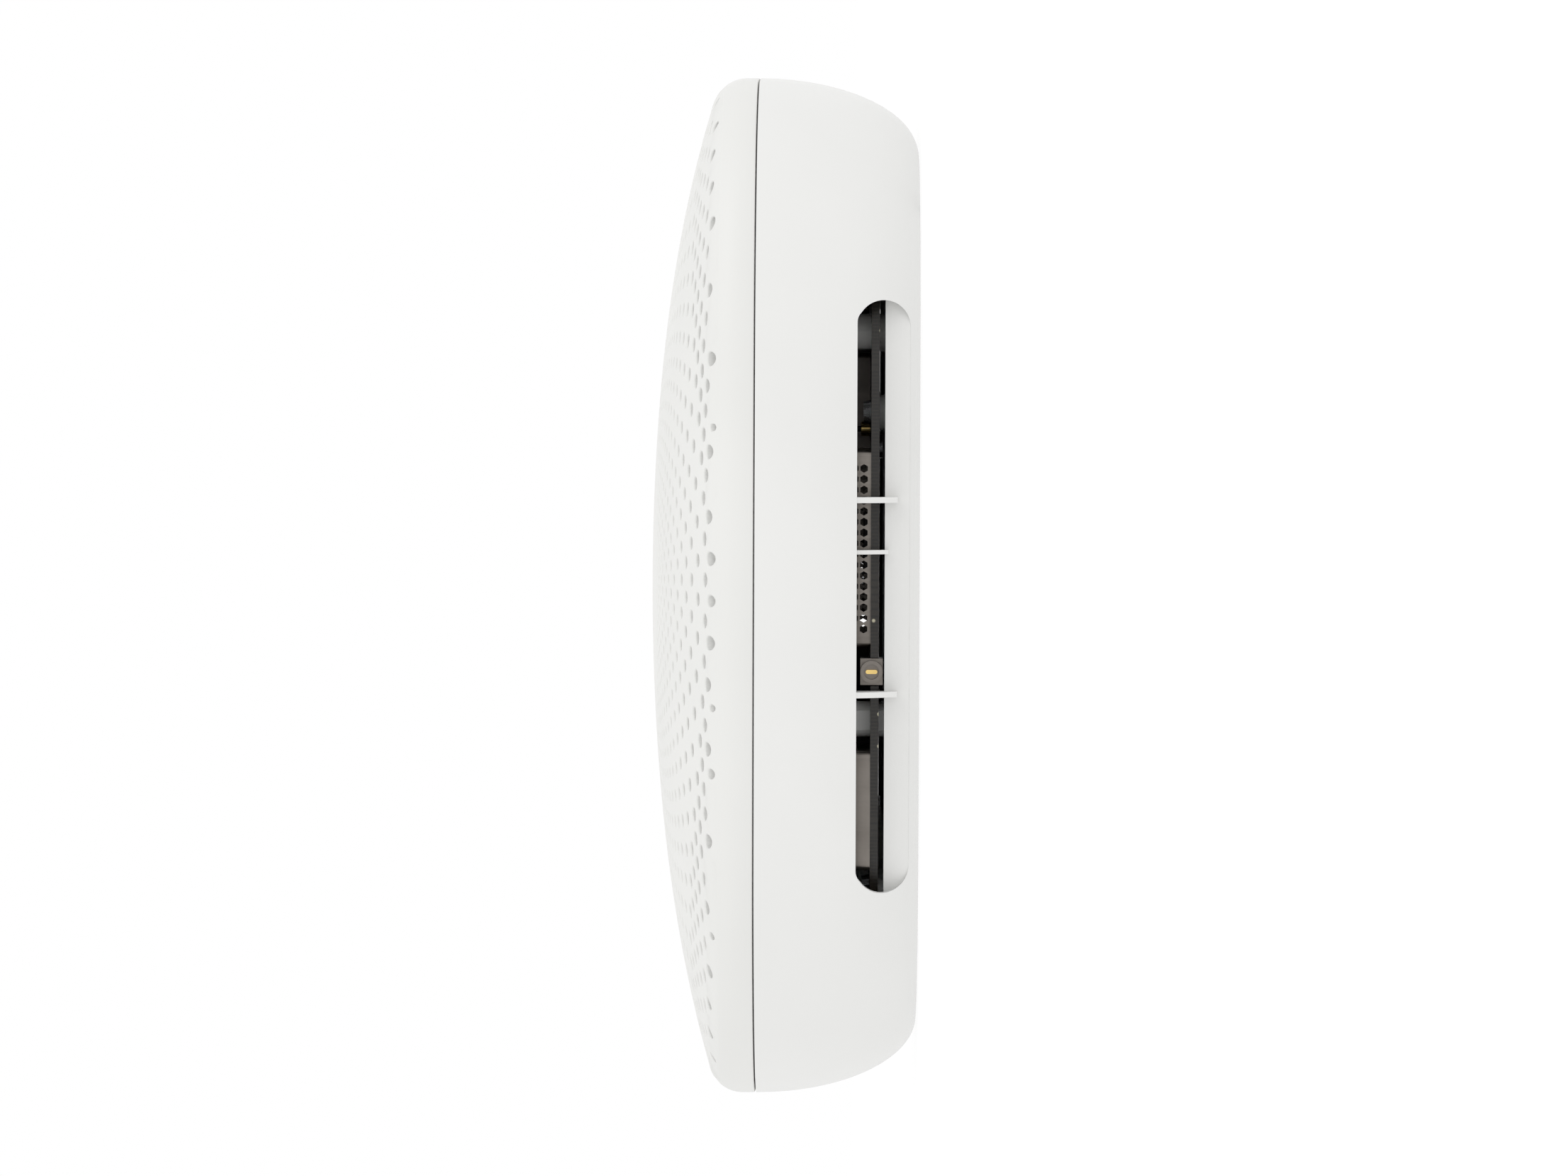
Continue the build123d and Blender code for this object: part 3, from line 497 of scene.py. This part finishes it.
def moulded_plastic(name, colour, rough=(0.42, 0.56), grain=2600.0, depth=0.012, tone=0.02):
    """Injection-moulded plastic: fine spark-eroded grain and a faint drift in tone."""
    made, tree, shader = new_material(name)
    where = place(tree)
    drift = noise(tree, where, 22.0, 3.0)
    colour_out = ramp(tree, drift.outputs["Fac"], shade(colour, 1 - tone), shade(colour, 1 + tone / 2))
    tree.links.new(colour_out, shader.inputs["Base Color"])
    fine = noise(tree, where, grain, 2.0, 0.6)
    tree.links.new(spread(tree, fine.outputs["Fac"], *rough), shader.inputs["Roughness"])
    bump(tree, shader, fine.outputs["Fac"], depth * MM)
    shader.inputs["IOR"].default_value = 1.49
    return made


def sheet_metal(name, colour, rough=(0.24, 0.42), stretch=(60, 2600, 60), spots=0.0):
    """Rolled or plated metal: fine lines along one way and a cloudy finish."""
    made, tree, shader = new_material(name)
    lines = noise(tree, place(tree, stretch), 1.0, 3.0)
    cloud = noise(tree, place(tree), 160.0, 4.0)
    colour_out = ramp(tree, cloud.outputs["Fac"], shade(colour, 0.86 - spots), shade(colour, 1.06))
    tree.links.new(colour_out, shader.inputs["Base Color"])
    tree.links.new(spread(tree, lines.outputs["Fac"], *rough), shader.inputs["Roughness"])
    bump(tree, shader, lines.outputs["Fac"], 0.01 * MM, 0.6)
    shader.inputs["Metallic"].default_value = 1.0
    return made


def circuit_board(name, colour, trace):
    """Solder mask over copper: straight tracks, dotted vias and a slight weave."""
    made, tree, shader = new_material(name)
    where = place(tree)
    tracks = add_node(tree, "ShaderNodeTexBrick", Scale=420.0, offset=0.5)
    tracks.inputs["Mortar Size"].default_value = 0.06
    tracks.inputs["Brick Width"].default_value = 1.7
    tracks.inputs["Row Height"].default_value = 0.3
    tracks.inputs["Color1"].default_value = (0, 0, 0, 1)
    tracks.inputs["Color2"].default_value = (0.25, 0.25, 0.25, 1)
    tracks.inputs["Mortar"].default_value = (1, 1, 1, 1)
    tree.links.new(where, tracks.inputs["Vector"])
    mask = ramp(tree, tracks.outputs["Color"], colour, trace, 0.1, 0.9)
    vias = add_node(tree, "ShaderNodeTexVoronoi", Scale=260.0)
    tree.links.new(where, vias.inputs["Vector"])
    dots = ramp(tree, vias.outputs["Distance"], (1, 1, 1), (0, 0, 0), 0.10, 0.14)
    mix = add_node(tree, "ShaderNodeMix", data_type="RGBA")
    tree.links.new(dots, mix.inputs[0])
    tree.links.new(mask, mix.inputs[6])
    mix.inputs[7].default_value = (0.62, 0.58, 0.42, 1)
    tree.links.new(mix.outputs[2], shader.inputs["Base Color"])
    weave = noise(tree, place(tree, (3000, 400, 400)), 1.0, 2.0)
    tree.links.new(spread(tree, weave.outputs["Fac"], 0.26, 0.44), shader.inputs["Roughness"])
    bump(tree, shader, tracks.outputs["Color"], 0.02 * MM, 0.5)
    return made


def smooth_polymer(name, colour, rough=(0.2, 0.4), grain=900.0, depth=0.02, tone=0.12):
    """Sleeves, pads, epoxy and rubber: a mottled tone with a soft, uneven surface."""
    made, tree, shader = new_material(name)
    where = place(tree)
    mottle = noise(tree, where, grain / 3, 5.0)
    colour_out = ramp(tree, mottle.outputs["Fac"], shade(colour, 1 - tone), shade(colour, 1 + tone))
    tree.links.new(colour_out, shader.inputs["Base Color"])
    fine = noise(tree, where, grain, 3.0)
    tree.links.new(spread(tree, fine.outputs["Fac"], *rough), shader.inputs["Roughness"])
    bump(tree, shader, fine.outputs["Fac"], depth * MM)
    return made


def clear_acrylic(name, colour):
    """Light pipe: clear plastic with faint moulding streaks."""
    made, tree, shader = new_material(name)
    streak = noise(tree, place(tree, (300, 300, 40)), 1.0, 3.0)
    colour_out = ramp(tree, streak.outputs["Fac"], shade(colour, 0.94), colour)
    tree.links.new(colour_out, shader.inputs["Base Color"])
    tree.links.new(spread(tree, streak.outputs["Fac"], 0.05, 0.14), shader.inputs["Roughness"])
    shader.inputs["Transmission Weight"].default_value = 0.9
    shader.inputs["IOR"].default_value = 1.49
    return made


FINISHES = {
    "cover_plastic": lambda n: moulded_plastic(n, (0.74, 0.74, 0.72)),
    "housing_plastic": lambda n: moulded_plastic(n, (0.76, 0.76, 0.745), (0.40, 0.52)),
    "circuit_board": lambda n: circuit_board(n, (0.010, 0.008, 0.006), (0.022, 0.018, 0.013)),
    # tinned steel is given a dark colour, far below bright plated metal: painted shade for the dim
    # inside of the housing
    "tinned_steel": lambda n: sheet_metal(n, (0.22, 0.20, 0.18)),
    "zinc_steel": lambda n: sheet_metal(n, (0.62, 0.64, 0.66), (0.2, 0.36), (1400, 1400, 90)),
    "galvanised_sheet": lambda n: sheet_metal(n, (0.66, 0.67, 0.68), (0.30, 0.5), (90, 90, 90), 0.1),
    "aluminium": lambda n: sheet_metal(n, (0.66, 0.67, 0.68), (0.3, 0.46)),
    "black_plastic": lambda n: moulded_plastic(n, (0.022, 0.022, 0.023), (0.35, 0.5), 1800.0, 0.02),
    "chip_epoxy": lambda n: smooth_polymer(n, (0.018, 0.018, 0.02), (0.4, 0.6)),
    "gold_plate": lambda n: sheet_metal(n, (0.80, 0.58, 0.22), (0.14, 0.26)),
    "silicone_pad": lambda n: smooth_polymer(n, (0.32, 0.38, 0.46), (0.6, 0.8)),
    "capacitor_sleeve": lambda n: sheet_metal(n, (0.60, 0.60, 0.63), (0.18, 0.3), (900, 900, 60)),
    "ferrite": lambda n: smooth_polymer(n, (0.05, 0.048, 0.05), (0.5, 0.75), 700.0, 0.04),
    "clear_acrylic": lambda n: clear_acrylic(n, (0.93, 0.95, 0.96)),
    "led_lens": lambda n: smooth_polymer(n, (0.78, 0.74, 0.36), (0.15, 0.25), 500.0, 0.01, 0.06),
    "natural_nylon": lambda n: moulded_plastic(n, (0.70, 0.67, 0.58), (0.4, 0.55), 1500.0, 0.02, 0.05),
    "coax_jacket": lambda n: smooth_polymer(n, (0.03, 0.03, 0.032), (0.35, 0.5), 1200.0),
    "label_film": lambda n: smooth_polymer(n, (0.74, 0.75, 0.76), (0.25, 0.35), 600.0, 0.004, 0.03),
}
finishes = {slot: make(slot) for slot, make in FINISHES.items()}


def dress_frame():
    """Gives every CAD node the finish of its material slot."""
    for part in frame["record"]["subparts"]:
        node = nodes[part["node"]]
        node.data.materials.clear()
        node.data.materials.append(finishes[part["material_slot"]])


dress_frame()


# ---------------------------------------------------------------- pieces of the visual model
def add_cover():
    cover = build_cover()
    cover.data.materials.append(finishes["cover_plastic"])
    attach(cover, "housing")
    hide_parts("front_cover")


add_cover()


# ---------------------------------------------------------------- floor and light
FLOOR_HALF = 6.0
FLOOR_GAP = 0.2 * MM  # under the flat back


def add_floor():
    """Wide pale floor under the object."""
    size = FLOOR_HALF
    z = cad_low.z - FLOOR_GAP
    mesh = bpy.data.meshes.new("floor")
    corners = [(-size, -size, z), (size, -size, z), (size, size, z), (-size, size, z)]
    mesh.from_pydata(corners, [], [(0, 1, 2, 3)])
    floor = bpy.data.objects.new("floor", mesh)
    scene.collection.objects.link(floor)
    made, tree, shader = new_material("floor")
    paper = noise(tree, place(tree), 40.0, 3.0)
    colour = ramp(tree, paper.outputs["Fac"], (0.15, 0.15, 0.15), (0.16, 0.16, 0.16))
    tree.links.new(colour, shader.inputs["Base Color"])
    shader.inputs["Roughness"].default_value = 0.9
    shader.inputs["Specular IOR Level"].default_value = 0.0
    shader.inputs["Emission Color"].default_value = (1, 1, 1, 1)
    shader.inputs["Emission Strength"].default_value = 0.86
    mesh.materials.append(made)


def add_lamp(name, place_at, size, power):
    """Soft square lamp aimed at the middle of the object."""
    data = bpy.data.lights.new(name, "AREA")
    data.shape = "SQUARE"
    data.size = size
    data.energy = power
    lamp = bpy.data.objects.new(name, data)
    scene.collection.objects.link(lamp)
    lamp.location = place_at
    aim = (cad_low + cad_high) / 2 - lamp.location
    lamp.rotation_mode = "QUATERNION"
    lamp.rotation_quaternion = aim.to_track_quat("-Z", "Y")


def add_world():
    world = bpy.data.worlds.new("studio")
    world.use_nodes = True
    back = next(n for n in world.node_tree.nodes if n.type == "BACKGROUND")
    back.inputs["Color"].default_value = (1, 1, 1, 1)
    back.inputs["Strength"].default_value = 1.0
    scene.world = world


add_floor()
add_world()
add_lamp("key_light", (0.9, 1.3, 1.2), 1.2, 6.0)
add_lamp("fill_light", (1.2, -1.2, 0.8), 1.4, 2.0)
scene.view_settings.view_transform = "Standard"
